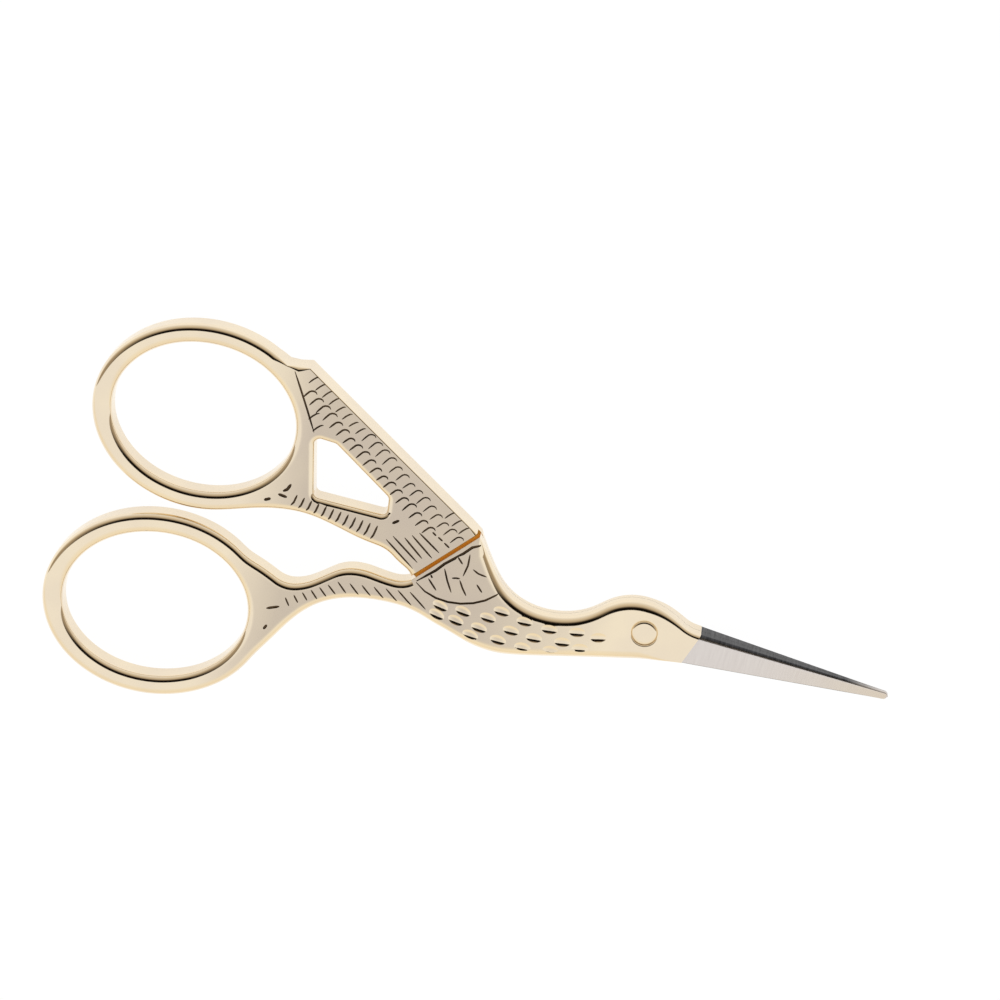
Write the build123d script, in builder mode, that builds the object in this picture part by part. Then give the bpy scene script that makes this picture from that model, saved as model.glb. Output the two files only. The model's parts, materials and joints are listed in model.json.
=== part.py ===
from build123d import *
import os
from math import atan2, ceil, cos, degrees, hypot, radians, sin, sqrt

# Stork embroidery scissors, closed. Two forged halves lap at the bird's body and turn on one screw.
# Outlines are drawn about the pivot, with X to the points, Y to the upper ring and Z out of the front.

# Reaches from the pivot axis
blade_reach = 34.5
ring_reach = 81.8
breast_reach = 32.6
breast_drop = 0.95
belly_depth = 8.55
nape_reach = 25.0
nape_rise = 7.6
wing_foot_reach = 33.0
wing_foot_drop = 0.35

# Plate thickness: each half is full at its ring and half of that where the two lap
plate_thickness = 4.0
lap_play = 0.04
shoulder_gap = 0.4
cut_overrun = 1.0

# Finger rings
upper_opening_length = 25.3
upper_opening_width = 20.9
upper_ring_band = 2.7
upper_ring_tilt = 1.0
upper_ring_set_in = 1.2
lower_opening_length = 25.8
lower_opening_width = 21.1
lower_ring_band = 2.85
lower_ring_tilt = 10.0
ring_gap = 1.7
ring_gap_rise = 0.15

# Angles on the rings, from their long axis, where legs and tail run in
lower_leg_top_angle = 42
lower_leg_foot_angle = 328
upper_leg_angle = 289
tail_angle = 51
tail_length = 3.1
tail_rise = 0.4

# Each stretch of a ring's outline is a pair of tangent arcs over this angle
oval_step = 45

# Edges: the round edges stand as bevels that take off as much metal
edge_bevel = 0.55
opening_bevel = 0.75
window_edge_bevel = 0.2
window_corner_round = 0.8

# Blades, ground from the full lap thickness at the ricasso down to the points
ricasso_reach = 7.0
ricasso_rise = 1.7
ricasso_drop = 2.75
point_top_drop = 0.1
point_drop = 1.25
point_spine = 0.5
point_edge = 0.06
ricasso_edge_relief = 0.1
ricasso_spine_round = 0.45
point_spine_round = 0.15

# The slanted line where the plating stops
plating_reach = 6.95
plating_slant = 19.5

# Pivot screw: slotted head behind, shoulder in the back half, flush end as the bird's eye
thread_diameter = 3.55
shoulder_diameter = 4.0
head_diameter = 5.6
head_height = 0.8
head_slot_width = 0.8
head_slot_depth = 0.4
bearing_clearance = 0.04
head_clearance = 0.1
eye_groove = 0.1

# Outline points as shares: of breast reach and belly depth for the body, of the nape's reach
# and rise for the neck, and of the way from the legs' fork to the ring's centre for the handles
belly_corner_shares = (0.84, 0.789)
belly_shares = [(0.629, 1.0), (0.442, 0.906), (0.172, 0.649), (-0.009, 0.48)]
neck_shares = [(-0.124, 0.428), (0.024, 0.553), (0.2, 0.395), (0.32, 0.079), (0.46, -0.118),
               (0.62, -0.138), (0.772, 0.059), (0.884, 0.441)]
lower_leg_under_shares = [(0.499, 1.037), (0.445, 0.809), (0.356, 0.551), (0.251, 0.404),
                          (0.117, 0.333), (-0.033, 0.345)]
lower_leg_top_shares = [(0.027, 0.045), (0.108, 0.06), (0.212, 0.041), (0.275, 0.075),
                        (0.365, 0.236), (0.43, 0.348), (0.499, 0.386), (0.574, 0.318)]
upper_leg_shares = [(0.677, 0.265), (0.584, 0.309), (0.488, 0.32), (0.366, 0.278),
                    (0.205, 0.203), (0.118, 0.165), (0.062, 0.089)]
window_shares = [(0.472, 0.512), (0.155, 0.512), (0.165, 0.691), (0.432, 1.076), (0.528, 1.089)]

lap_height = plate_thickness / 2
half_play = lap_play / 2


def ellipse_reach(length, width, tilt):
    """Half the extent of a tilted ellipse along X and along Y."""
    turn = radians(tilt)
    along_x = hypot(length / 2 * cos(turn), width / 2 * sin(turn))
    along_y = hypot(length / 2 * sin(turn), width / 2 * cos(turn))
    return along_x, along_y


def between(start, end, shares):
    """Points given as shares of the way from start to end, along X and along Y."""
    span_x = end[0] - start[0]
    span_y = end[1] - start[1]
    return [(start[0] + u * span_x, start[1] + v * span_y) for u, v in shares]


upper_length = upper_opening_length + 2 * upper_ring_band
upper_width = upper_opening_width + 2 * upper_ring_band
lower_length = lower_opening_length + 2 * lower_ring_band
lower_width = lower_opening_width + 2 * lower_ring_band
upper_reach_x, upper_reach_y = ellipse_reach(upper_length, upper_width, upper_ring_tilt)
lower_reach_x, lower_reach_y = ellipse_reach(lower_length, lower_width, lower_ring_tilt)

pivot = (0, 0)
upper_ring = (upper_ring_set_in + upper_reach_x - ring_reach,
              ring_gap_rise + ring_gap / 2 + upper_reach_y)
lower_ring = (lower_reach_x - ring_reach,
              ring_gap_rise - ring_gap / 2 - lower_reach_y)
breast_foot = (-breast_reach, -breast_drop)
nape = (-nape_reach, nape_rise)
wing_foot = (-wing_foot_reach, -wing_foot_drop)
body_corner = (-breast_reach, -belly_depth)
belly_corner = between(pivot, body_corner, [belly_corner_shares])[0]
belly_points = between(pivot, body_corner, belly_shares)
neck_points = between(pivot, nape, neck_shares)
ricasso_top = (ricasso_reach, ricasso_rise)
ricasso_foot = (ricasso_reach, -ricasso_drop)
point_top = (blade_reach, -point_top_drop)
point_foot = (blade_reach, -point_drop)

# The origin is the bottom centre of the part's box, so the pivot stands off it
pivot_x = (ring_reach - blade_reach) / 2
pivot_y = -(upper_ring[1] + upper_reach_y + lower_ring[1] - lower_reach_y) / 2
drawing = Plane(origin=(pivot_x, pivot_y, 0))
blade_slope_top = Vector(*point_top) - Vector(*ricasso_top)
blade_slope_foot = Vector(*point_foot) - Vector(*ricasso_foot)
leg_under_points = between(breast_foot, lower_ring, lower_leg_under_shares)
belly_slope = Vector(*belly_points[0]) - Vector(*leg_under_points[-1])
nape_slope = Vector(*nape) - Vector(*neck_points[-1])
breast_slope = Vector(*breast_foot) - Vector(*nape)


def tangent_arcs(guide, shares):
    """Pairs of tangent arcs that follow a guide curve and touch it at the given shares of it."""
    for share, next_share in zip(shares, shares[1:]):
        start, heading = guide @ share, guide % share
        end, turned = guide @ next_share, guide % next_share
        chord = end - start
        bend = 1 - heading.dot(turned)
        along = chord.dot(heading + turned)
        reach = chord.dot(chord) / (along + sqrt(along ** 2 + 2 * bend * chord.dot(chord)))
        joint = (start + end + (heading - turned) * reach) / 2
        first = TangentArc(start, joint, tangent=heading)
        TangentArc(joint, end, tangent=first % 1)


def oval(centre, length, width, tilt, start=0, end=360):
    """Edge of a finger ring or its opening, counter-clockwise from one angle to another."""
    guide = EllipticalCenterArc(centre, length / 2, width / 2, start, arc_size=end - start,
                                rotation=tilt, mode=Mode.PRIVATE)
    count = ceil((end - start) / oval_step)
    tangent_arcs(guide, [step / count for step in range(count + 1)])
    return guide


def smooth_line(points, start_direction, end_direction):
    """Curve through the points that leaves and arrives in the given directions."""
    guide = Spline(*points, tangents=[start_direction, end_direction], tangent_scalars=[1, 1],
                   mode=Mode.PRIVATE)
    tangent_arcs(guide, [0, *[guide.param_at_point(point) for point in points[1:-1]], 1])
    return guide


def belly_line():
    """Lower edge of the body, from the corner under the breast to the ricasso."""
    return smooth_line([belly_corner, *belly_points, ricasso_foot], belly_slope, blade_slope_foot)


def neck_line():
    """Upper edge of head and neck, from the ricasso back to the nape."""
    return smooth_line([ricasso_top, *neck_points, nape], -blade_slope_top, nape_slope)


def lap_half_plane(start, end, side, gap):
    """Half plane on one side of the shoulder from start to end, moved back by the gap."""
    angle = degrees(atan2(end[1] - start[1], end[0] - start[0])) + 90 * side
    reach = blade_reach + ring_reach
    with Locations(Location((*start, 0), (0, 0, angle))):
        with Locations((-gap, 0)):
            Rectangle(reach, 2 * reach, align=(Align.MIN, Align.CENTER))


def blade_section(station, top, foot, top_height, foot_height, side, spine_round):
    """Cross-section of a blade: flat against its mate, thick at the spine, thin at the edge."""
    base = lap_height + side * half_play
    thick = top if top_height > foot_height else foot
    plane = Plane(origin=(pivot_x + station, pivot_y, 0), x_dir=(0, 1, 0), z_dir=(1, 0, 0))
    with BuildSketch(plane) as section:
        with BuildLine():
            Polyline((top, base), (top, base + side * top_height),
                     (foot, base + side * foot_height), (foot, base), close=True)
        make_face()
        outer = section.vertices().sort_by(lambda corner: abs(corner.Y - base))[-2:]
        fillet(outer.sort_by(lambda corner: abs(corner.X - thick))[0], spine_round)
    return section.sketch


def blade_ends(side):
    """Sections at ricasso and point. The spine is on top for side 1 and below for side -1."""
    full = lap_height - half_play
    heel = (full, full - ricasso_edge_relief)[::side]
    point = (point_spine, point_edge)[::side]
    return [blade_section(*ricasso_top, -ricasso_drop, *heel, side, ricasso_spine_round),
            blade_section(*point_top, -point_drop, *point, side, point_spine_round)]


def beyond_the_point():
    """What is ground off a blade to leave a round point."""
    radius = (point_drop - point_top_drop) / 2
    with Locations((blade_reach - radius, -(point_drop + point_top_drop) / 2)):
        Rectangle(radius + cut_overrun, 2 * point_drop, align=(Align.MIN, Align.CENTER))
        Circle(radius, mode=Mode.SUBTRACT)


# Front half: lower ring, leg, breast, neck, head and front blade in one forging
leg_top_points = between(breast_foot, lower_ring, lower_leg_top_shares)
with BuildPart() as front_half:
    with BuildSketch(drawing):
        with BuildLine():
            ring = oval(lower_ring, lower_length, lower_width, lower_ring_tilt,
                        lower_leg_top_angle, lower_leg_foot_angle)
            smooth_line([ring @ 1, *leg_under_points, belly_corner], ring % 1, belly_slope)
            belly_line()
            Line(ricasso_foot, ricasso_top)
            neck_line()
            Line(nape, breast_foot)
            smooth_line([breast_foot, *leg_top_points, ring @ 0], breast_slope, ring % 0)
        make_face()
    extrude(amount=plate_thickness)
    outline = front_half.faces().filter_by(Axis.Z).edges()
    chamfer(outline - outline.filter_by(Axis.Y), edge_bevel)
    with BuildSketch(drawing):
        with BuildLine():
            oval(lower_ring, lower_opening_length, lower_opening_width, lower_ring_tilt)
        make_face()
    extrude(amount=plate_thickness, mode=Mode.SUBTRACT)
    rim = front_half.edges(Select.LAST)
    chamfer(rim - rim.filter_by(Axis.Z), opening_bevel)
    with BuildSketch(drawing.offset(-cut_overrun)):
        lap_half_plane(wing_foot, belly_corner, 1, shoulder_gap)
    extrude(amount=cut_overrun + lap_height + half_play, mode=Mode.SUBTRACT)
    loft(blade_ends(1), ruled=True)
    with BuildSketch(drawing):
        beyond_the_point()
    extrude(amount=plate_thickness, mode=Mode.SUBTRACT)
    with BuildSketch(drawing):
        Circle(thread_diameter / 2)
    extrude(amount=plate_thickness, mode=Mode.SUBTRACT)
    eye = front_half.edges(Select.LAST).group_by(Axis.Z)[-1]
    chamfer(eye, eye_groove)

# Back half: upper ring, leg, wing, the hidden side of the body and the back blade in one forging
upper_leg_points = between(wing_foot, upper_ring, upper_leg_shares)
shoulder_slope = Vector(*belly_corner) - Vector(*wing_foot)
with BuildPart() as back_half:
    with BuildSketch(drawing):
        with BuildLine():
            ring = oval(upper_ring, upper_length, upper_width, upper_ring_tilt,
                        tail_angle, upper_leg_angle)
            tail = ring @ 0 + Vector(tail_length, tail_rise)
            smooth_line([ring @ 1, *upper_leg_points, wing_foot], ring % 1, shoulder_slope)
            Line(wing_foot, belly_corner)
            belly_line()
            Line(ricasso_foot, ricasso_top)
            neck_line()
            Line(nape, tail)
            Line(tail, ring @ 0)
        make_face()
    extrude(amount=plate_thickness)
    outline = back_half.faces().filter_by(Axis.Z).edges()
    soft_edges = outline.filter_by(GeomType.CIRCLE)
    chamfer(soft_edges, edge_bevel)
    with BuildSketch(drawing):
        with BuildLine():
            oval(upper_ring, upper_opening_length, upper_opening_width, upper_ring_tilt)
        make_face()
    extrude(amount=plate_thickness, mode=Mode.SUBTRACT)
    rim = back_half.edges(Select.LAST)
    chamfer(rim - rim.filter_by(Axis.Z), opening_bevel)
    with BuildSketch(drawing) as window:
        with BuildLine():
            Polyline(*between(wing_foot, upper_ring, window_shares), close=True)
        make_face()
        fillet(window.vertices(), window_corner_round)
    extrude(amount=plate_thickness, mode=Mode.SUBTRACT)
    rim = back_half.edges(Select.LAST)
    chamfer(rim - rim.filter_by(Axis.Z), window_edge_bevel)
    with BuildSketch(drawing.offset(plate_thickness + cut_overrun)):
        lap_half_plane(breast_foot, nape, -1, shoulder_gap)
    extrude(amount=-(cut_overrun + lap_height + half_play), mode=Mode.SUBTRACT)
    loft(blade_ends(-1), ruled=True)
    with BuildSketch(drawing):
        beyond_the_point()
    extrude(amount=plate_thickness, mode=Mode.SUBTRACT)
    with Locations(Location((pivot_x, pivot_y, 0), (180, 0, 0))):
        CounterBoreHole(shoulder_diameter / 2 + bearing_clearance,
                        head_diameter / 2 + head_clearance, head_height + lap_play,
                        depth=plate_thickness)

# Pivot screw: its thread fills the front half, its shoulder is the back half's bearing
with BuildPart() as pivot_screw:
    with BuildSketch(drawing):
        Circle(head_diameter / 2)
    extrude(amount=head_height)
    with BuildSketch(drawing):
        Circle(shoulder_diameter / 2)
    extrude(amount=lap_height + half_play)
    with BuildSketch(drawing):
        Circle(thread_diameter / 2)
    extrude(amount=plate_thickness)
    chamfer(pivot_screw.edges().group_by(Axis.Z)[-1], eye_groove)
    with BuildSketch(drawing):
        Rectangle(head_slot_width, head_diameter + 2 * cut_overrun)
    extrude(amount=head_slot_depth, mode=Mode.SUBTRACT)

# Each forging is plated from its ring to the slanted line behind the blade
plating_edge = Plane(origin=(pivot_x + plating_reach, pivot_y, 0),
                     z_dir=(cos(radians(plating_slant)), -sin(radians(plating_slant)), 0))
with BuildPart() as front_handle:
    add(front_half.part)
    split(bisect_by=plating_edge, keep=Keep.BOTTOM)
with BuildPart() as front_blade:
    add(front_half.part)
    split(bisect_by=plating_edge, keep=Keep.TOP)
with BuildPart() as back_handle:
    add(back_half.part)
    split(bisect_by=plating_edge, keep=Keep.BOTTOM)
with BuildPart() as back_blade:
    add(back_half.part)
    split(bisect_by=plating_edge, keep=Keep.TOP)

front_handle.part.label = "front_handle"
front_blade.part.label = "front_blade"
back_handle.part.label = "back_handle"
back_blade.part.label = "back_blade"
pivot_screw.part.label = "pivot_screw"

os.makedirs("parts", exist_ok=True)
export_step(front_handle.part, "parts/front_handle.step")
export_step(front_blade.part, "parts/front_blade.step")
export_step(back_handle.part, "parts/back_handle.step")
export_step(back_blade.part, "parts/back_blade.step")
export_step(pivot_screw.part, "parts/pivot_screw.step")
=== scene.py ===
import json
from math import ceil, cos, pi, radians, sin

import bmesh
import bpy
from mathutils import Matrix, Vector
from mathutils.geometry import delaunay_2d_cdt


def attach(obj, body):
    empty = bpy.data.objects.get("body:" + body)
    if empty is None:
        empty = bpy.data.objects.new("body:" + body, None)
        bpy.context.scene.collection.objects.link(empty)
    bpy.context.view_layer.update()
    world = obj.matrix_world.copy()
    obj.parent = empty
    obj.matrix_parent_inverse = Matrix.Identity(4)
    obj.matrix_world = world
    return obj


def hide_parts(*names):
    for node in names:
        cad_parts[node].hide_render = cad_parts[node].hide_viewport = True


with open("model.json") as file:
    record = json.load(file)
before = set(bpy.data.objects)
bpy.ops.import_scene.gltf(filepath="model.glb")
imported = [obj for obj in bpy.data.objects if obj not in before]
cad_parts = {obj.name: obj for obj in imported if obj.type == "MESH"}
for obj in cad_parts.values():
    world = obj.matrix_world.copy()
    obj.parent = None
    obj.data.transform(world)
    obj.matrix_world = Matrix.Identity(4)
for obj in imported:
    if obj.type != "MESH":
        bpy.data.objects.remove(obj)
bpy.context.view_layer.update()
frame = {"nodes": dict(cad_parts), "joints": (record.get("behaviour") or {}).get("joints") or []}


# Table, light tent and camera: a white table under a white tent with one dark gap, high up on the
# side of the upper ring. Polished metal shows the gap as black lines along its rounded edges. The
# camera is the photograph's.

mm = 0.001


def linear(code):
    """Linear colour of an sRGB hex code."""
    parts = [int(code[k:k + 2], 16) / 255 for k in (1, 3, 5)]
    return (*(c / 12.92 if c <= 0.04045 else ((c + 0.055) / 1.055) ** 2.4 for c in parts), 1)


def add_node(tree, kind, settings=None, stops=(), **inputs):
    """Adds a node, sets its properties and the (position, hex colour) stops of its ramp, and sets
    or links its inputs, given by name, or by number as i0, i1 and so on. Where an input is given a
    node, it takes the first output that this node has in use."""
    node = tree.nodes.new(kind)
    for key, value in (settings or {}).items():
        setattr(node, key, value)
    for key, value in inputs.items():
        if key[0] == "i" and key[1:].isdigit():
            socket = node.inputs[int(key[1:])]
        else:
            socket = next(s for s in node.inputs if s.name.replace(" ", "_") == key and s.enabled)
        if isinstance(value, bpy.types.Node):
            value = next(s for s in value.outputs if s.enabled)
        if isinstance(value, bpy.types.NodeSocket):
            tree.links.new(value, socket)
        else:
            socket.default_value = value
    if stops:
        marks = node.color_ramp.elements
        while len(marks) < len(stops):
            marks.new(0.5)
        for mark, (position, colour) in zip(marks, stops):
            mark.position = position
            mark.color = linear(colour)
    return node


def empty_tree(owner):
    """The node tree of a material or a world, emptied."""
    owner.use_nodes = True
    owner.node_tree.nodes.clear()
    return owner.node_tree


def linked(name, mesh, material):
    """A new object in the scene with the mesh and its one material."""
    mesh.materials.append(material)
    piece = bpy.data.objects.new(name, mesh)
    bpy.context.scene.collection.objects.link(piece)
    return piece


table_side = 3.0
table_drop = 0.05 * mm
# the table is nearly white to the camera and in the metal's mirror, and keeps some of its shadow
seen_glow, seen_share = 1.05, 0.93
mirrored_glow, mirrored_share = 1.28, 0.7
table_paint = bpy.data.materials.new("white table laminate")
tree = empty_tree(table_paint)
rays = add_node(tree, "ShaderNodeLightPath").outputs
matt = add_node(tree, "ShaderNodeBsdfDiffuse", Color=linear("#F0F0F0"))
glow = add_node(tree, "ShaderNodeEmission", Color=linear("#FFFFFF"), Strength=seen_glow)
sheen = add_node(tree, "ShaderNodeEmission", Color=linear("#FFFFFF"), Strength=mirrored_glow)
seen = add_node(tree, "ShaderNodeMixShader", Fac=seen_share, i1=matt, i2=glow)
mirrored = add_node(tree, "ShaderNodeMixShader", Fac=mirrored_share, i1=matt, i2=sheen)
mixed = add_node(tree, "ShaderNodeMixShader", Fac=rays["Is Glossy Ray"], i1=matt, i2=mirrored)
mixed = add_node(tree, "ShaderNodeMixShader", Fac=rays["Is Camera Ray"], i1=mixed, i2=seen)
add_node(tree, "ShaderNodeOutputMaterial", Surface=mixed)
table_mesh = bpy.data.meshes.new("table")
corners = [(-1, -1), (1, -1), (1, 1), (-1, 1)]
table_corners = [(x * table_side / 2, y * table_side / 2, -table_drop) for x, y in corners]
table_mesh.from_pydata(table_corners, [], [(0, 1, 2, 3)])
linked("table", table_mesh, table_paint)

world = bpy.data.worlds.new("light tent")
bpy.context.scene.world = world
tree = empty_tree(world)
direction = add_node(tree, "ShaderNodeTexCoord").outputs["Generated"]
axes = add_node(tree, "ShaderNodeSeparateXYZ", Vector=direction).outputs
# the gap hangs lower at the end past the rings
reach = add_node(tree, "ShaderNodeMath", {"operation": "MULTIPLY"}, i0=axes["X"], i1=-0.3)
reach = add_node(tree, "ShaderNodeMath", {"operation": "MAXIMUM"}, i0=reach, i1=0.0)
sideways = add_node(tree, "ShaderNodeMath", {"operation": "ADD"}, i0=axes["Y"], i1=reach)
lean = add_node(tree, "ShaderNodeMath", {"operation": "ARCTAN2"}, i0=sideways, i1=axes["Z"])
# once round the tent about its length is 0 to 1, and straight up is 0.5
around = add_node(tree, "ShaderNodeMath", {"operation": "MULTIPLY_ADD"}, i0=lean, i1=0.5 / pi,
                  i2=0.5)
tent = add_node(tree, "ShaderNodeValToRGB", Fac=around, stops=[
    (0.0, "#FFFFFF"), (0.15, "#FFF4DE"), (0.27, "#FFF5E0"), (0.37, "#FFFAEE"), (0.42, "#FFFFFF"),
    (0.508, "#FFFFFF"), (0.512, "#7A7168"), (0.518, "#060504"), (0.566, "#100D0A"),
    (0.58, "#50443A"), (0.592, "#8E8170"), (0.61, "#BFB29E"), (0.65, "#DDD1BE"),
    (0.75, "#FFFFFF"), (1.0, "#FFFFFF")])
# and it is paler at both of its ends
aside = add_node(tree, "ShaderNodeMath", {"operation": "ABSOLUTE"}, i0=axes["X"])
pale = add_node(tree, "ShaderNodeMapRange", Value=aside, From_Min=0.4, From_Max=0.75, To_Max=0.85)
tent = add_node(tree, "ShaderNodeMix", {"data_type": "RGBA", "blend_type": "LIGHTEN"}, i0=pale,
                i6=tent, i7=linear("#B5A58E"))
camera_ray = add_node(tree, "ShaderNodeLightPath").outputs["Is Camera Ray"]
tent_light = add_node(tree, "ShaderNodeBackground", Color=tent, Strength=1.0)
backdrop = add_node(tree, "ShaderNodeBackground", Color=linear("#FFFFFF"), Strength=1.0)
shown = add_node(tree, "ShaderNodeMixShader", Fac=camera_ray, i1=tent_light, i2=backdrop)
add_node(tree, "ShaderNodeOutputWorld", Surface=shown)

camera_lean, camera_roll = radians(20.0), radians(14.5)
camera_place = (0.025 * mm, 184.721 * mm, 473.846 * mm)
camera = bpy.data.objects.new("camera", bpy.data.cameras.new("camera"))
bpy.context.scene.collection.objects.link(camera)
camera.data.sensor_width = 36.0
camera.data.lens = 133.15
camera.data.clip_start = 0.01
right = Vector((cos(camera_roll), sin(camera_roll) * cos(camera_lean),
                -sin(camera_roll) * sin(camera_lean)))
up = Vector((-sin(camera_roll), cos(camera_roll) * cos(camera_lean),
             -cos(camera_roll) * sin(camera_lean)))
back = Vector((0, sin(camera_lean), cos(camera_lean)))
camera.matrix_world = Matrix.Translation(camera_place) @ Matrix(
    (right, up, back)).transposed().to_4x4()
bpy.context.scene.camera = camera
bpy.context.scene.view_settings.view_transform = "Standard"


# Front half, plated part: lower finger ring, leg, breast, neck and head.
# A steel forging, ground, polished round its edges and plated with pale gold. The feathers of
# breast and leg are struck with small punches, and the eye is the end of the pivot screw.

pivot = Vector(frame["joints"][0]["pos_m"]).xy / mm


def polished_metal(name, tones, waviness, roughness, struck="#FFFFFF"):
    """Plated, polished metal: a clean mirror with the faint waves that hand polishing leaves."""
    paint = bpy.data.materials.new(name)
    tree = empty_tree(paint)
    position = add_node(tree, "ShaderNodeTexCoord").outputs
    place = position["Object"]
    # polishing waves some 6 mm apart, and buffing haze in patches of a third of a mm
    waves = add_node(tree, "ShaderNodeTexNoise", Vector=place, Scale=1 / (6 * mm), Detail=2.0)
    buffing = add_node(tree, "ShaderNodeTexNoise", Vector=place, Scale=1 / (0.35 * mm), Detail=1.0)
    tone = add_node(tree, "ShaderNodeValToRGB", Fac=waves,
                    stops=[(0.35, tones[0]), (0.65, tones[1])])
    # greyer on the level faces from wing to breast, by the tone given as struck
    along = add_node(tree, "ShaderNodeSeparateXYZ", Vector=place).outputs["X"]
    along = add_node(tree, "ShaderNodeMapRange", Value=along, From_Min=-40 * mm, From_Max=30 * mm)
    shade = add_node(tree, "ShaderNodeValToRGB", Fac=along, stops=[
        (0.08, "#FFFFFF"), (0.2, struck), (0.6, struck), (0.85, "#FFFFFF")])
    upright = add_node(tree, "ShaderNodeSeparateXYZ", Vector=position["Normal"]).outputs["Z"]
    level = add_node(tree, "ShaderNodeMath", {"operation": "ABSOLUTE"}, i0=upright)
    level = add_node(tree, "ShaderNodeMapRange", Value=level, From_Min=0.96, From_Max=0.999)
    tone = add_node(tree, "ShaderNodeMix", {"data_type": "RGBA", "blend_type": "MULTIPLY"},
                    i0=level, i6=tone, i7=shade)
    haze = add_node(tree, "ShaderNodeMapRange", Value=buffing, To_Min=roughness[0],
                    To_Max=roughness[1])
    bump = add_node(tree, "ShaderNodeBump", Strength=waviness, Distance=0.05 * mm, Height=waves)
    metal = add_node(tree, "ShaderNodeBsdfPrincipled", Base_Color=tone, Metallic=1.0,
                     Roughness=haze, Normal=bump)
    add_node(tree, "ShaderNodeOutputMaterial", Surface=metal)
    return paint


# pale gold over nickel: warm champagne where it mirrors white
gilding = polished_metal("pale gold plating", ("#EBDCC4", "#F0E1C6"), 0.3, (0.05, 0.1), "#DAD9DE")
# the same plating in the punched lines, rougher, with the shade in the grooves painted into its
# dark brown tone
painted_groove_shade = polished_metal("punched lines painted dark as shade", ("#382C20", "#5C4A36"), 0.1,
                        (0.3, 0.45))
# the cut faces between the halves, painted deeper gold as the reflection that they show of each
# other
shoulder_painted_reflection = polished_metal("gold plating on the shoulders", ("#C98E34", "#D9A24A"), 0.3,
                               (0.12, 0.2))


def area_of(points):
    """Twice the signed area of a closed outline."""
    return sum(a.cross(b) for a, b in zip(points, points[1:] + points[:1]))


def without_straight_points(points, straight=0.0004, doubled=0.01):
    """The outline without points that lie, to these limits in mm, on the straight line between
    their neighbours or on the point before them."""
    kept = list(points)
    for k in range(len(kept) - 1, -1, -1):
        a, b, c = kept[k - 1], kept[k], kept[(k + 1) % len(kept)]
        if abs((b - a).cross(c - b)) < straight * (c - a).length or (b - a).length < doubled:
            kept.pop(k)
    return kept


def outline_loops(node, height):
    """Closed outlines of a CAD piece at one height, in mm about the pivot, the largest first.
    The outer one runs counter-clockwise and the openings clockwise."""
    cut = bmesh.new()
    cut.from_mesh(frame["nodes"][node].data)
    bmesh.ops.remove_doubles(cut, verts=cut.verts, dist=0.002 * mm)
    made = bmesh.ops.bisect_plane(cut, geom=cut.verts[:] + cut.edges[:] + cut.faces[:],
                                  plane_co=(0, 0, height * mm), plane_no=(0, 0, 1))
    edges = [e for e in made["geom_cut"] if isinstance(e, bmesh.types.BMEdge)]
    loops = []
    while edges:
        edge = edges.pop()
        first, vert = edge.verts
        points = [first.co.xy / mm - pivot]
        while vert is not first:
            points.append(vert.co.xy / mm - pivot)
            edge = next(e for e in vert.link_edges if e in edges)
            edges.remove(edge)
            vert = edge.other_vert(vert)
        # each starts at its end away from the blades
        first = min(range(len(points)), key=lambda k: points[k].x)
        loops.append(without_straight_points(points[first:] + points[:first]))
    cut.free()
    loops.sort(key=lambda points: -abs(area_of(points)))
    for k, points in enumerate(loops):
        if (area_of(points) > 0) != (k == 0):
            points.reverse()
    return loops


def redrawn(points, step, corner_turn=radians(24), much_longer=2.5, straight_step=2):
    """The same outline as a smooth curve through its points, corners kept: (point, is corner).
    A run that is much longer than the one beside it keeps its own heading up to its end."""
    count = len(points)
    headings = []
    for k in range(count):
        before, after = points[k] - points[k - 1], points[(k + 1) % count] - points[k]
        if before.angle(after) > corner_turn:
            headings.append(None)
        elif before.length > much_longer * after.length:
            headings.append(before.normalized())
        elif after.length > much_longer * before.length:
            headings.append(after.normalized())
        else:
            headings.append((before / before.length_squared
                             + after / after.length_squared).normalized())
    drawn = []
    for k in range(count):
        start, end = points[k], points[(k + 1) % count]
        chord = end - start
        leave = (headings[k] or chord.normalized()) * chord.length
        arrive = (headings[(k + 1) % count] or chord.normalized()) * chord.length
        bent = max(chord.angle(leave), chord.angle(arrive)) > radians(0.3)
        pieces = ceil(chord.length / (step if bent else straight_step))
        for piece in range(pieces):
            u = piece / pieces
            drawn.append((start * (1 + 2 * u) * (1 - u) ** 2 + end * (3 - 2 * u) * u ** 2
                          + leave * u * (1 - u) ** 2 - arrive * (1 - u) * u ** 2,
                          piece == 0 and headings[k] is None))
    return drawn


def fade(value, start, end):
    """Runs smoothly from 0 at start to 1 at end."""
    u = min(1, max(0, (value - start) / (end - start)))
    return u * u * (3 - 2 * u)


def rounded(drawn, radius_at, corner_radius=0.2, growth=0.45):
    """Gives each outline point its edge radius, smaller towards the corners: (point, radius)."""
    corners = [point for point, corner in drawn if corner]
    made = []
    for point, corner in drawn:
        near = min(((point - c).length for c in corners), default=99)
        made.append((point, min(radius_at(point), corner_radius + growth * near)))
    return made


def triangles_between(rims):
    """Triangles, as index triples, that fill the flat area between closed rims of points."""
    places = [point for rim in rims for point in rim]
    sides = []
    for rim in rims:
        first = len(sides)
        sides += [(first + k, first + (k + 1) % len(rim)) for k in range(len(rim))]
    made = delaunay_2d_cdt(places, sides, [], 0, 1e-6)
    kept = []
    for triangle in made[2]:
        triple = [made[3][vert][0] for vert in triangle]
        centre = sum((places[k] for k in triple), Vector((0, 0))) / 3
        crossed = 0
        for a, b in sides:
            start, end = places[a], places[b]
            if (start.y > centre.y) != (end.y > centre.y):
                across = start.x + (centre.y - start.y) * (end.x - start.x) / (end.y - start.y)
                crossed += across > centre.x
        if crossed % 2:
            kept.append(triple)
    return kept


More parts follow.
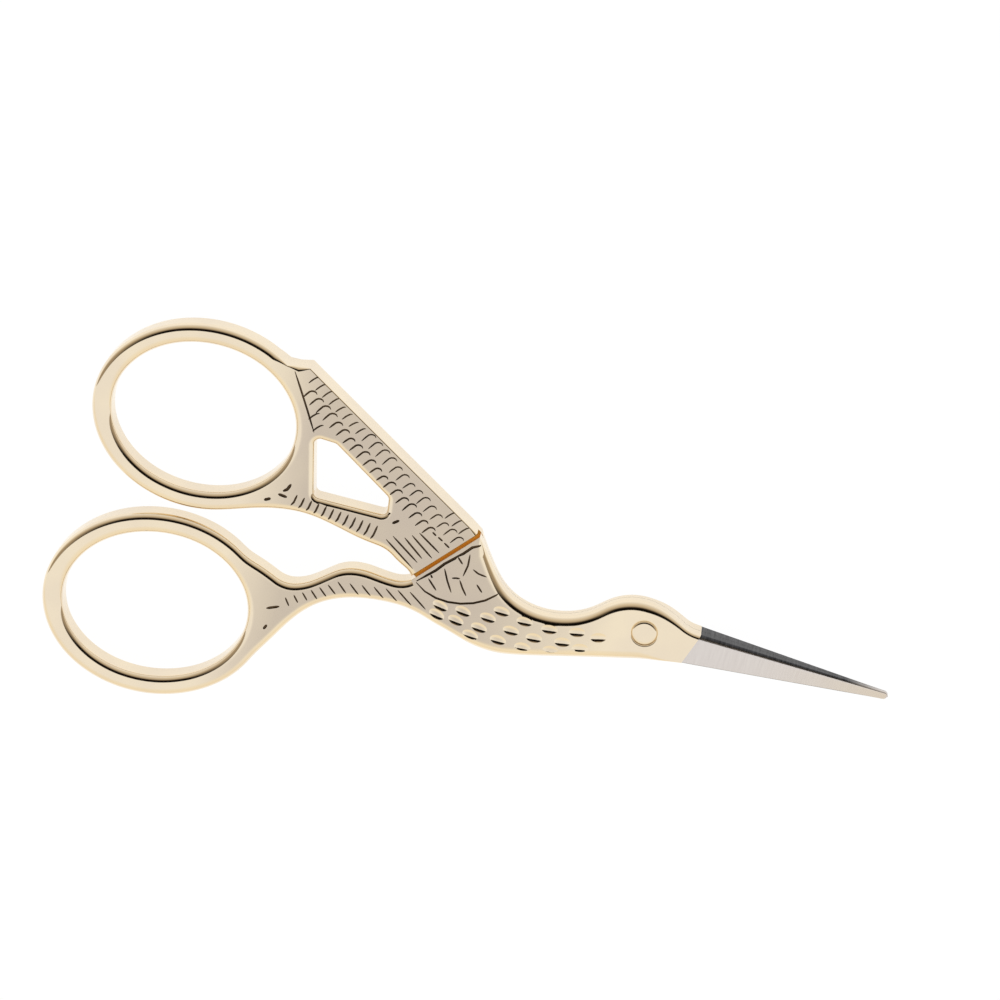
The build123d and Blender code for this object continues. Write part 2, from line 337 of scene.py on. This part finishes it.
def closed(name, body, material):
    """The piece that a finished bmesh makes, its faces turned outwards."""
    bmesh.ops.recalc_face_normals(body, faces=body.faces)
    mesh = bpy.data.meshes.new(name)
    body.to_mesh(mesh)
    body.free()
    return linked(name, mesh, material)


rounding_steps = 8
# an edge is rounded as an ellipse, less deep than it is wide
rounding_depth = 0.75
mitre_limit = 0.35


def plate(name, outlines, low, high, material):
    """A flat plate with rounded edges. The outlines are lists of (point, edge radius)."""
    body = bmesh.new()
    angles = [pi / 2 * k / rounding_steps for k in range(rounding_steps + 1)]
    rims = []
    for outline in outlines:
        rows = []
        count = len(outline)
        for k, (point, radius) in enumerate(outline):
            before = (point - outline[k - 1][0]).normalized()
            after = (outline[(k + 1) % count][0] - point).normalized()
            along = (before + after).normalized()
            outward = Vector((along.y, -along.x)) / max(mitre_limit, along.dot(after))
            places = [(point - outward * radius * (1 - cos(a)),
                       rounding_depth * radius * (1 - sin(a))) for a in angles]
            rows.append(
                [body.verts.new((*place, low + depth)) for place, depth in reversed(places)]
                + [body.verts.new((*place, high - depth)) for place, depth in places])
        for this, after in zip(rows, rows[1:] + rows[:1]):
            for j in range(len(this) - 1):
                body.faces.new((this[j], after[j], after[j + 1], this[j + 1]))
        rims.append(rows)
    ends = [row for rows in rims for row in rows]
    for triple in triangles_between([[row[0].co.xy for row in rows] for rows in rims]):
        body.faces.new([ends[k][0] for k in triple])
        body.faces.new([ends[k][-1] for k in reversed(triple)])
    return closed(name, body, material)


def block(name, points, low, high, material):
    """A straight-sided block over an outline, used as a cutter."""
    body = bmesh.new()
    base = body.faces.new([body.verts.new((*p, low)) for p in points])
    made = bmesh.ops.extrude_face_region(body, geom=[base])
    raised = [v for v in made["geom"] if isinstance(v, bmesh.types.BMVert)]
    bmesh.ops.translate(body, verts=raised, vec=(0, 0, high - low))
    return closed(name, body, material)


def beyond(start, end, gap, reach=130):
    """Outline of the half plane right of the line from start to end, widened by the gap."""
    along = (end - start).normalized()
    right_hand = Vector((along.y, -along.x))
    a, b = start - along * reach - right_hand * gap, start + along * reach - right_hand * gap
    return [a, a + right_hand * 2 * reach, b + right_hand * 2 * reach, b]


def applied(piece):
    """Makes the piece's mesh what its modifiers give, and takes the modifiers off."""
    bpy.context.view_layer.update()
    graph = bpy.context.evaluated_depsgraph_get()
    mesh = bpy.data.meshes.new_from_object(piece.evaluated_get(graph), depsgraph=graph)
    piece.modifiers.clear()
    piece.data = mesh


def cut_away(piece, *cutters):
    """Cuts the cutters out of the piece, leaves their material on the cut, and removes them."""
    for cutter in cutters:
        step = piece.modifiers.new("cut", "BOOLEAN")
        step.operation = "DIFFERENCE"
        step.solver = "MANIFOLD"
        step.material_mode = "TRANSFER"
        step.object = cutter
        applied(piece)
        bpy.data.objects.remove(cutter)


def true_normals(piece, crease=radians(33), weld=2e-4, level_weight=1000):
    """Sets smooth normals that leave the level faces flat, as on a plate that is ground before it
    is polished. Points closer than the weld, in mm, are made one."""
    body = bmesh.new()
    body.from_mesh(piece.data)
    bmesh.ops.remove_doubles(body, verts=body.verts, dist=weld)
    bmesh.ops.dissolve_degenerate(body, edges=body.edges, dist=weld)
    body.faces.ensure_lookup_table()
    weight = [face.calc_area() * (level_weight if abs(face.normal.z) > 0.99995 else 1)
              for face in body.faces]
    limit = cos(crease)
    normals = []
    for face in body.faces:
        face.smooth = True
        for vert in face.verts:
            total = Vector()
            for other in vert.link_faces:
                if other.normal.dot(face.normal) > limit:
                    total += other.normal * weight[other.index]
            normals.append(total.normalized() if total.length > 0 else face.normal.copy())
    body.to_mesh(piece.data)
    body.free()
    piece.data.normals_split_custom_set(normals)


def seated(piece, body, node):
    """Puts a piece that is drawn in mm about the pivot in its place, on its CAD body and for its
    CAD node."""
    piece.data.transform(Matrix.Translation((pivot.x * mm, pivot.y * mm, 0)) @ Matrix.Scale(mm, 4))
    piece.data.update()
    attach(piece, body)
    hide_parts(node)


def interface(tree, inputs):
    """Gives a geometry tree its named inputs and its output, and returns the input sockets."""
    for name, kind in inputs:
        tree.interface.new_socket(name, in_out="INPUT", socket_type="NodeSocket" + kind)
    tree.interface.new_socket("Geometry", in_out="OUTPUT", socket_type="NodeSocketGeometry")
    return add_node(tree, "NodeGroupInput").outputs


def punch_row_tree():
    """A stroke struck again and again along a row, each time a little turned and a little longer
    or shorter, as grooves that taper to both ends, ready to be cut."""
    tree = bpy.data.node_groups.new("punch row", "GeometryNodeTree")
    given = interface(tree, [("Stroke", "Geometry"), ("Count", "Int"), ("Pitch", "Vector"),
                             ("Width", "Float"), ("Turn", "Float"), ("Seed", "Int"),
                             ("Material", "Material")])
    row = add_node(tree, "GeometryNodeMeshLine", {"mode": "OFFSET"}, Count=given["Count"],
                   Offset=given["Pitch"])
    least = add_node(tree, "ShaderNodeMath", {"operation": "MULTIPLY"}, i0=given["Turn"], i1=-1.0)
    turn = add_node(tree, "FunctionNodeRandomValue", Min=least, Max=given["Turn"],
                    Seed=given["Seed"])
    turned = add_node(tree, "ShaderNodeCombineXYZ", Z=turn)
    rotation = add_node(tree, "FunctionNodeEulerToRotation", Euler=turned)
    size = add_node(tree, "FunctionNodeRandomValue", Min=0.88, Max=1.12, Seed=given["Seed"])
    sizes = add_node(tree, "ShaderNodeCombineXYZ", X=size, Y=size, Z=1.0)
    struck = add_node(tree, "GeometryNodeInstanceOnPoints", Points=row, Instance=given["Stroke"],
                      Rotation=rotation)
    sized = add_node(tree, "GeometryNodeScaleInstances", Instances=struck, Scale=sizes)
    real = add_node(tree, "GeometryNodeRealizeInstances", Geometry=sized)
    curve = add_node(tree, "GeometryNodeMeshToCurve", Mesh=real)
    fine = add_node(tree, "GeometryNodeResampleCurve", Curve=curve, Count=9)
    share = add_node(tree, "GeometryNodeSplineParameter").outputs["Factor"]
    rest = add_node(tree, "ShaderNodeMath", {"operation": "SUBTRACT"}, i0=1.0, i1=share)
    both = add_node(tree, "ShaderNodeMath", {"operation": "MULTIPLY"}, i0=share, i1=rest)
    taper = add_node(tree, "ShaderNodeMapRange", Value=both, From_Max=0.16, To_Min=0.4, To_Max=1.0)
    width = add_node(tree, "ShaderNodeMath", {"operation": "MULTIPLY"}, i0=taper,
                     i1=given["Width"])
    half = add_node(tree, "ShaderNodeMath", {"operation": "MULTIPLY"}, i0=width, i1=0.5)
    section = add_node(tree, "GeometryNodeCurvePrimitiveCircle", Resolution=6, Radius=1.0)
    groove = add_node(tree, "GeometryNodeCurveToMesh", Curve=fine, Profile_Curve=section,
                      Scale=half, Fill_Caps=True)
    again = add_node(tree, "GeometryNodeRealizeInstances", Geometry=groove)
    coated = add_node(tree, "GeometryNodeSetMaterial", Geometry=again, Material=given["Material"])
    add_node(tree, "NodeGroupOutput", Geometry=coated)
    return tree


def dimple_tree():
    """A grain-shaped pit at every point, turned by how far the point lies from the pivot."""
    tree = bpy.data.node_groups.new("dimples", "GeometryNodeTree")
    given = interface(tree, [("Points", "Geometry"), ("Length", "Float"), ("Width", "Float"),
                             ("Depth", "Float"), ("Turn at pivot", "Float"),
                             ("Turn per mm", "Float"), ("Material", "Material")])
    place = add_node(tree, "GeometryNodeInputPosition")
    distance = add_node(tree, "ShaderNodeSeparateXYZ", Vector=place).outputs["X"]
    turn = add_node(tree, "ShaderNodeMath", {"operation": "MULTIPLY_ADD"}, i0=distance,
                    i1=given["Turn per mm"], i2=given["Turn at pivot"])
    turned = add_node(tree, "ShaderNodeCombineXYZ", Z=turn)
    rotation = add_node(tree, "FunctionNodeEulerToRotation", Euler=turned)
    halves = [add_node(tree, "ShaderNodeMath", {"operation": "MULTIPLY"}, i0=given[side], i1=0.5)
              for side in ("Length", "Width")]
    size = add_node(tree, "ShaderNodeCombineXYZ", X=halves[0], Y=halves[1], Z=given["Depth"])
    grain = add_node(tree, "GeometryNodeMeshUVSphere", Segments=32, Rings=20, Radius=1.0)
    points = add_node(tree, "GeometryNodeMeshToPoints", Mesh=given["Points"])
    struck = add_node(tree, "GeometryNodeInstanceOnPoints", Points=points, Instance=grain,
                      Rotation=rotation, Scale=size)
    real = add_node(tree, "GeometryNodeRealizeInstances", Geometry=struck)
    coated = add_node(tree, "GeometryNodeSetMaterial", Geometry=real, Material=given["Material"])
    add_node(tree, "NodeGroupOutput", Geometry=coated)
    return tree


def grown(piece, tree, **values):
    """Runs a geometry tree on the piece with the given inputs, and keeps what it makes."""
    step = piece.modifiers.new(tree.name, "NODES")
    step.node_group = tree
    for item in tree.interface.items_tree:
        key = item.name.replace(" ", "_")
        if item.in_out == "INPUT" and key in values:
            step[item.identifier] = values[key]
    applied(piece)


def joined(name, pieces):
    """One object out of several."""
    body = bmesh.new()
    for piece in pieces:
        body.from_mesh(piece.data)
    mesh = bpy.data.meshes.new(name)
    body.to_mesh(mesh)
    body.free()
    material = pieces[0].data.materials[0]
    for piece in pieces:
        bpy.data.objects.remove(piece)
    return linked(name, mesh, material)


punch_row = punch_row_tree()
dimples = dimple_tree()
# how far off the plate's face the middle of a groove and of a pit lie, in mm
punch_lift, pit_lift = 0.02, 0.7
pit_length, pit_width, pit_depth = 3.8, 2.2, 0.9
# from eye to breast foot, along which the pits turn from 25 degrees one way to 25 the other
breast_length, breast_height = 32.6, 8.55
turn_at_eye, whole_turn = radians(25), radians(50)


def grooves(name, rows, faces):
    """Cutters for engraved rows on the plate's faces. Each row is the stroke's points, how often
    it is struck, its pitch, the groove's width and how far, in degrees, the strokes turn."""
    made = []
    for height, outward in faces:
        for seed, (stroke, count, pitch, width, turn) in enumerate(rows):
            mesh = bpy.data.meshes.new(name)
            start = Vector(stroke[0])
            mesh.from_pydata([(*(Vector(p) - start), 0) for p in stroke],
                             [(k, k + 1) for k in range(len(stroke) - 1)], [])
            # the groove cutters carry the painted groove shade, which the cut leaves on the
            # grooves
            piece = linked(name, mesh, painted_groove_shade)
            grown(piece, punch_row, Count=count, Pitch=(*pitch, 0), Width=width,
                  Turn=radians(turn), Seed=seed, Material=painted_groove_shade)
            piece.data.transform(Matrix.Translation((*start, height + outward * punch_lift)))
            made.append(piece)
    return joined(name, made)


def pits(name, points, height, outward):
    """Cutters for the dimples of the breast."""
    mesh = bpy.data.meshes.new(name)
    mesh.from_pydata([(*p, height + outward * pit_lift) for p in points], [], [])
    piece = linked(name, mesh, gilding)
    grown(piece, dimples, Length=pit_length, Width=pit_width, Depth=pit_depth,
          Turn_at_pivot=turn_at_eye, Turn_per_mm=whole_turn / breast_length, Material=gilding)
    return piece


plate_height = 4.0
lap_low, lap_high = 1.98, 2.02
# the middle of each half's own layer, where its outline is read
front_layer, back_layer = 3.0, 1.0
shoulder_gap = 0.4
breast_foot, nape = Vector((-32.6, -0.95)), Vector((-25.0, 7.6))
wing_foot, belly_corner = Vector((-33.0, -0.35)), Vector((-27.384, -6.746))
plating_point, plating_turn = Vector((6.95, 0)), radians(19.5)
plating_normal = Vector((cos(plating_turn), -sin(plating_turn)))


def past_the_plating(points, reach=2.5):
    """The outline with its straight end at the plating line carried on towards the blade."""
    on_line = [k for k, p in enumerate(points)
               if abs((p - plating_point).dot(plating_normal)) < 0.02]
    low_end, high_end = sorted(on_line, key=lambda k: points[k].y)[::len(on_line) - 1]
    lower = points[low_end] + (points[low_end] - points[low_end - 1]).normalized() * reach
    upper_way = points[high_end] - points[(high_end + 1) % len(points)]
    upper = points[high_end] + upper_way.normalized() * reach
    return points[:low_end + 1] + [lower, upper] + points[high_end:]


def cut_at_plating(piece, keep_handle):
    """Cuts a piece flat at the plating line and closes the cut."""
    body = bmesh.new()
    body.from_mesh(piece.data)
    made = bmesh.ops.bisect_plane(body, geom=body.verts[:] + body.edges[:] + body.faces[:],
                                  plane_co=(*plating_point, 0), plane_no=(*plating_normal, 0),
                                  clear_outer=keep_handle, clear_inner=not keep_handle)
    rim = [e for e in made["geom_cut"] if isinstance(e, bmesh.types.BMEdge) and e.is_boundary]
    bmesh.ops.holes_fill(body, edges=rim, sides=0)
    body.normal_update()
    body.to_mesh(piece.data)
    body.free()


# edge radii and the steps along the outlines, in mm
outline_step, fine_step = 0.35, 0.2
ring_radius, opening_radius, leg_radius = 1.15, 1.2, 1.2
neck_gain, head_loss = 0.4, 0.8
crisp_radius, shoulder_edge, blade_side_radius = 0.26, 0.06, 0.12


def neck_radius(p, spine_side):
    """Edge radius from leg to head: wide along the neck, then as on the blade, broad on the side
    of its spine and small on the side of its edge."""
    edge_share = fade(p.x, 0, 5.5) if p.y * spine_side < 0 else 0
    broad = leg_radius + neck_gain * fade(p.x, -26, -20) - head_loss * fade(p.x, -1, 6)
    return broad * (1 - edge_share) + blade_side_radius * edge_share


def front_radius(p):
    """Edge radius of the front half: its own on the ring, slimmer on leg and neck, and next to
    nothing along the shoulder."""
    ring = 1 - fade(p.x, -58, -48)
    off_shoulder = abs((p - breast_foot).cross((nape - breast_foot).normalized()))
    if off_shoulder < 0.05 and p.y > breast_foot.y - 0.1:
        return shoulder_edge
    return neck_radius(p, 1) * (1 - ring) + ring_radius * ring


def between_rows(first, last, count):
    """Single strokes from the first to the last, each a little moved on and lengthened."""
    for k in range(count):
        u = k / (count - 1)
        yield [Vector(a) * (1 - u) + Vector(b) * u for a, b in zip(first, last)]


leg_hatch = [
    *between_rows([(-48.8, -8.1), (-48.1, -9.1)], [(-43.5, -4.7), (-42.2, -5.8)], 6),
    *between_rows([(-42.3, -3.9), (-40.9, -5.2)], [(-32.4, -2.7), (-29.9, -4.5)], 7),
]
foot_dabs = [[(-49.3, -9.6), (-50.9, -10.3)], [(-50.4, -12.7), (-50.7, -13.4)]]
breast_edge = [(-31.9, -1.1), (-30.8, -1.9), (-29.5, -2.4), (-28.2, -2.6), (-26.9, -2.6),
               (-25.6, -2.35), (-24.5, -2.0), (-23.3, -1.4), (-22.3, -0.7), (-21.4, 0.3),
               (-20.7, 1.2)]
scallops = [(-31.9, -0.9), (-31.0, 0.0), (-30.5, 0.5), (-30.1, 0.9), (-29.5, 1.5), (-29.0, 2.3),
            (-28.6, 2.5), (-27.9, 3.4), (-27.4, 4.1), (-26.9, 4.3), (-26.3, 5.1), (-25.8, 5.8),
            (-25.1, 6.0), (-24.4, 5.8), (-23.8, 5.2)]
breast_feathers = [
    [(-30.4, -0.1), (-28.9, -1.6)], [(-28.6, 1.9), (-27.8, 0.2), (-26.8, -1.5)],
    [(-27.3, 0.8), (-26.8, 0.95), (-26.3, 1.0)], [(-26.2, 0.8), (-25.6, -0.2), (-24.9, -1.1)],
    [(-25.7, 4.8), (-25.6, 3.2), (-25.9, 1.5)], [(-24.8, 2.8), (-24.0, 2.4), (-22.8, 2.25)],
    [(-23.8, 0.8), (-22.9, -0.1)], [(-27.2, 4.0), (-26.3, 3.1)], [(-30.2, 0.5), (-29.9, 0.1)],
]


def singles(strokes, width):
    """Rows of one for strokes that are each struck once."""
    return [(stroke, 1, (0, 0), width, 0) for stroke in strokes]


leg_rows = singles(leg_hatch, 0.26) + singles(foot_dabs, 0.4)
edge_rows = singles([breast_edge], 0.34)
breast_rows = singles([scallops], 0.42) + singles(breast_feathers, 0.28)
# the dimples' places, as shares of the breast's length and height
dimple_shares = [(0.856, 0.415), (0.758, 0.409), (0.65, 0.409), (0.601, 0.246), (0.497, 0.316),
                 (0.388, 0.339), (0.273, 0.269), (0.181, 0.269), (0.862, 0.573), (0.778, 0.591),
                 (0.676, 0.614), (0.543, 0.526), (0.442, 0.55), (0.322, 0.497), (0.244, 0.526),
                 (0.704, 0.772), (0.586, 0.737), (0.479, 0.754), (0.36, 0.684)]
dimple_points = [(-breast_length * u, -breast_height * v) for u, v in dimple_shares]
top, bottom = (plate_height, 1), (0, -1)

outer, opening, eye = outline_loops("front_handle", front_layer)
front_outlines = [
    rounded(redrawn(past_the_plating(outer), outline_step), front_radius),
    [(point, opening_radius) for point, corner in redrawn(opening, outline_step)],
    [(point, crisp_radius) for point, corner in redrawn(eye, fine_step)],
]
front_handle = plate("lower_ring_breast_and_head", front_outlines, 0, plate_height, gilding)
# the lap's cut faces take the painted deeper-gold reflection
cut_away(front_handle,
         block("lap", beyond(belly_corner, wing_foot, shoulder_gap), -1, lap_high, shoulder_painted_reflection),
         grooves("breast_feathers", breast_rows, [top]), grooves("breast_edge", edge_rows, [top]),
         grooves("leg", leg_rows, [top, bottom]), pits("dimples", dimple_points, *top))
cut_at_plating(front_handle, True)
true_normals(front_handle)
seated(front_handle, "front_half", "front_handle")


# Back half, plated part: upper finger ring, leg, the wing with its window, and the hidden body.
# The second forging, plated as the first. It carries the wing at full thickness, and its body and
# head lie behind those of the front half, with the same feathers struck on their outer face.

wing_tail = Vector((-52.7, 24.9))
window_radius, bearing_radius = 0.9, 0.05
# the wing's shoulder stands a little further off, for the strip of painted deeper-gold reflection
# between the halves
back_gap = shoulder_gap + 0.15


def back_radius(p):
    """Edge radius of the back half. The wing's long edge stays crisp."""
    ring = 1 - fade(p.x, -58, -53)
    off_wing_edge = abs((p - nape).cross((wing_tail - nape).normalized()))
    crisp = (1 - fade(off_wing_edge, 0.1, 0.8)) * fade(p.x, -57, -54) * (1 - fade(p.x, -26, -24))
    return ((neck_radius(p, -1) * (1 - ring) + ring_radius * ring) * (1 - crisp)
            + crisp_radius * crisp)


feather = [(-1.1, -1.15), (-0.7, -0.6), (-0.3, -0.12), (0.05, 0.0), (0.42, -0.08), (0.62, -0.38)]
edge_feather = [(-1.15, -1.05), (-0.7, -0.5), (-0.2, -0.05), (0.1, 0.0)]
window_dab = [(-0.5, -0.35), (0.3, 0.25)]


def struck_at(stroke, crest):
    """The stroke with its crest at the given place."""
    return [(x + crest[0], y + crest[1]) for x, y in stroke]


feather_rows = [
    (struck_at(edge_feather, (-51.3, 23.9)), 8, (1.1, -0.76), 0.24, 4),
    (struck_at(feather, (-42.6, 17.9)), 14, (1.15, -0.85), 0.24, 4),
    (struck_at(feather, (-51.69, 21.79)), 19, (1.11, -0.81), 0.28, 4),
    (struck_at(edge_feather, (-29.1, 10.0)), 3, (1.15, -0.85), 0.24, 3),
    (struck_at(edge_feather, (-50.2, 18.9)), 2, (0.9, -1.5), 0.26, 4),
    (struck_at(window_dab, (-37.9, 7.4)), 2, (1.4, -0.7), 0.42, 3),
]
quills = [[(-37.3, 3.9), (-33.1, 0.9)], [(-36.5, 4.6), (-32.2, 1.6)], [(-34.9, 4.8), (-31.7, 2.3)],
          [(-34.0, 5.4), (-30.9, 3.1)], [(-33.1, 6.0), (-30.0, 4.0)],
          [(-31.4, 6.6), (-30.8, 6.2)], [(-30.5, 6.1), (-29.8, 5.7)], [(-29.5, 5.5), (-28.7, 5.0)]]
ring_border = [(-54.6, 24.0), (-53.2, 21.6), (-51.6, 18.8), (-49.9, 15.7)]
upper_leg_hatch = list(between_rows([(-50.45, 6.9), (-50.68, 5.75), (-51.0, 5.2)],
                                    [(-38.85, 5.5), (-39.1, 4.1), (-39.4, 3.4)], 12))
upper_foot_dabs = [[(-51.6, 8.2), (-51.9, 7.4), (-52.4, 7.0)], [(-53.0, 6.35), (-51.7, 6.2)],
                   [(-54.7, 5.0), (-53.8, 5.5)]]
wing_rows = (singles(quills, 0.28) + singles([ring_border], 0.3) + singles(upper_leg_hatch, 0.3)
             + singles(upper_foot_dabs, 0.45))
# on the back nothing but a line parts wing and breast
shoulder_line = singles([[breast_foot + Vector((0.4, 0.5)), nape - Vector((0.4, 0.5))]], 0.3)

outer, opening, window, bearing = outline_loops("back_handle", back_layer)
back_outlines = [
    rounded(redrawn(past_the_plating(outer), outline_step), back_radius),
    [(point, opening_radius) for point, corner in redrawn(opening, outline_step)],
    [(point, window_radius) for point, corner in redrawn(window, fine_step)],
    [(point, bearing_radius) for point, corner in redrawn(bearing, fine_step)],
]
back_handle = plate("upper_ring_wing_and_body", back_outlines, 0, plate_height, gilding)
# the lap's cut faces take the painted deeper-gold reflection
cut_away(back_handle,
         block("lap", beyond(breast_foot, nape, back_gap), lap_low, plate_height + 1,
               shoulder_painted_reflection),
         *(grooves("feathers", [row], [top, bottom]) for row in feather_rows),
         grooves("quills", wing_rows, [top, bottom]), grooves("shoulder", shoulder_line, [bottom]),
         grooves("breast_feathers", breast_rows, [bottom]),
         grooves("breast_edge", edge_rows, [bottom]), pits("dimples", dimple_points, *bottom))
cut_at_plating(back_handle, True)
true_normals(back_handle)
seated(back_handle, "back_half", "back_handle")


# Front blade: bare steel, one piece with the front half from the slanted line where its plating
# stops. Ground flat inside and bright on the slope outside, from a thick spine down to the edge
# and a round point. Spine and sides are dark grey.

blade_start, ricasso, blade_point = 5.2, 7.0, 34.5
blade_lines = {"top": (1.7, -0.1), "foot": (-2.75, -1.25)}
spine_heights, edge_heights, spine_radii = (1.98, 0.5), (1.88, 0.06), (0.7, 0.2)
point_radius, land_width = 0.575, 0.12
blade_steps, point_steps, slope_steps, spine_steps = 60, 8, 6, 10


def blade_steel(name, tones, roughness, grinding, point_tone):
    """Steel with fine grinding marks across the blade, 0.2 mm apart and leaning by 20 degrees."""
    paint = bpy.data.materials.new(name)
    tree = empty_tree(paint)
    place = add_node(tree, "ShaderNodeTexCoord").outputs["Object"]
    marks = add_node(tree, "ShaderNodeMapping", Vector=place, Rotation=(0, 0, radians(20)),
                     Scale=(1 / (0.2 * mm), 1 / (3 * mm), 1 / (3 * mm)))
    lines = add_node(tree, "ShaderNodeTexNoise", Vector=marks, Scale=1.0, Detail=3.0)
    tone = add_node(tree, "ShaderNodeValToRGB", Fac=lines,
                    stops=[(0.3, tones[0]), (0.7, tones[1])])
    # the last few mm before the point are ground bright all round
    along = add_node(tree, "ShaderNodeSeparateXYZ", Vector=place).outputs["X"]
    near_point = add_node(tree, "ShaderNodeMapRange", Value=along,
                          From_Min=(pivot.x + 28.5) * mm, From_Max=(pivot.x + 33.5) * mm)
    tone = add_node(tree, "ShaderNodeMix", {"data_type": "RGBA"}, i0=near_point, i6=tone,
                    i7=linear(point_tone))
    bump = add_node(tree, "ShaderNodeBump", Strength=grinding, Distance=0.01 * mm, Height=lines)
    metal = add_node(tree, "ShaderNodeBsdfPrincipled", Base_Color=tone, Metallic=1.0,
                     Roughness=roughness, Normal=bump)
    add_node(tree, "ShaderNodeOutputMaterial", Surface=metal)
    return paint


# bright ground steel, a light grey
ground_steel = blade_steel("ground steel", ("#D6CFCB", "#DCD6D2"), 0.25, 0.1, "#DAD3CF")
# the same steel, dark grey on spine and sides
side_dark_steel = blade_steel("dark grey steel of spine and sides", ("#1E1E20", "#4C4C4E"), 0.3, 0.2, "#CFC9C5")


def along_blade(pair, x):
    """Value at x on the straight line between a pair of values at ricasso and point."""
    return pair[0] + (pair[1] - pair[0]) * (x - ricasso) / (blade_point - ricasso)


def blade(name, side):
    """A blade on one side of the lap plane: 1 is the front one with its spine on top, -1 the back
    one with its spine below."""
    body = bmesh.new()
    spine, edge = ("top", "foot") if side > 0 else ("foot", "top")
    base = lap_high if side > 0 else lap_low
    round_start = blade_point - point_radius
    stations = [(blade_start + (round_start - blade_start) * k / blade_steps, 1)
                for k in range(blade_steps + 1)]
    # the last turn stops short of the point, so that the end keeps a little width
    turns = [pi / 2 * k / point_steps for k in range(1, point_steps)] + [pi / 2 - 0.05]
    stations += [(round_start + point_radius * sin(a), cos(a)) for a in turns]
    rows = []
    for x, share in stations:
        ends = {key: along_blade(line, x) for key, line in blade_lines.items()}
        middle = (ends["top"] + ends["foot"]) / 2
        spine_y, edge_y = (middle + (ends[key] - middle) * share for key in (spine, edge))
        outward = 1 if spine_y > edge_y else -1
        heel = max(x, ricasso)
        high, low = along_blade(spine_heights, heel), along_blade(edge_heights, heel)
        width = abs(spine_y - edge_y)
        radius = min(along_blade(spine_radii, heel), 0.8 * high, 0.45 * width)
        land = min(land_width, 0.5 * low, 0.1 * width)
        # the edge and its rounding, the ground slope, then the spine's rounding and its side
        line = [(edge_y, 0), (edge_y, low - land)]
        line += [(edge_y + outward * land * (1 - cos(a)), low - land * (1 - sin(a)))
                 for a in (pi / 8, pi / 4, 3 * pi / 8)]
        foot, crest = (edge_y + outward * land, low), (spine_y - outward * radius, high)
        line += [tuple(a + (b - a) * k / slope_steps for a, b in zip(foot, crest))
                 for k in range(slope_steps)]
        line += [(spine_y - outward * radius * (1 - sin(a)), high - radius * (1 - cos(a)))
                 for a in [pi / 2 * k / spine_steps for k in range(spine_steps + 1)]]
        line += [(spine_y, 0)]
        rows.append([body.verts.new((x, y, base + side * z)) for y, z in line])
    for this, after in zip(rows, rows[1:]):
        for j in range(len(this)):
            k = (j + 1) % len(this)
            body.faces.new((this[j], after[j], after[k], this[k]))
    body.faces.new(rows[0])
    body.faces.new(rows[-1])
    piece = closed(name, body, ground_steel)
    piece.data.materials.append(side_dark_steel)
    cut_at_plating(piece, False)
    # the faces that face sideways, spine and sides, get the dark grey steel
    for face in piece.data.polygons:
        face.material_index = abs(face.normal.y) > 0.5
    true_normals(piece)
    return piece


front_blade = blade("front_blade_steel", 1)
seated(front_blade, "front_half", "front_blade")


# Back blade: the same steel and the same grinding on the back half, of one piece with it from
# where its plating stops, but turned over, with its spine below.

back_blade = blade("back_blade_steel", -1)
seated(back_blade, "back_half", "back_blade")


# Pivot screw: turned steel, plated like the halves. Its slotted head lies in the back half, and
# its shoulder is the bearing. Its end is screwed through the front half and ground flush, as the
# bird's eye.

head_radius, head_height, shoulder_radius, thread_radius = 2.8, 0.8, 2.0, 1.775
slot_width, slot_depth = 0.8, 0.4
screw_profile = [
    (0, 0), (head_radius - 0.18, 0), (head_radius - 0.05, 0.05), (head_radius, 0.18),
    (head_radius, head_height - 0.06), (head_radius - 0.06, head_height),
    (shoulder_radius, head_height), (shoulder_radius, lap_high - 0.03),
    (shoulder_radius - 0.03, lap_high), (thread_radius, lap_high),
    (thread_radius, plate_height - 0.25), (thread_radius - 0.12, plate_height - 0.13),
    (thread_radius - 0.3, plate_height - 0.04), (thread_radius - 0.55, plate_height),
    (0, plate_height)]


def turned_piece(name, profile, material, steps=72):
    """A solid of revolution about Z from (radius, height) points."""
    body = bmesh.new()
    line = [body.verts.new((radius, 0, height)) for radius, height in profile]
    edges = [body.edges.new(pair) for pair in zip(line, line[1:])]
    bmesh.ops.spin(body, geom=line + edges, cent=(0, 0, 0), axis=(0, 0, 1), angle=2 * pi,
                   steps=steps, use_merge=True)
    bmesh.ops.remove_doubles(body, verts=body.verts, dist=1e-4)
    return closed(name, body, material)


screw = turned_piece("pivot_screw_and_eye", screw_profile, gilding)
slot_outline = [(x * slot_width / 2, y * 1.5 * head_radius) for x, y in corners]
cut_away(screw, block("slot", slot_outline, -1, slot_depth, gilding))
true_normals(screw)
seated(screw, "front_half", "pivot_screw")
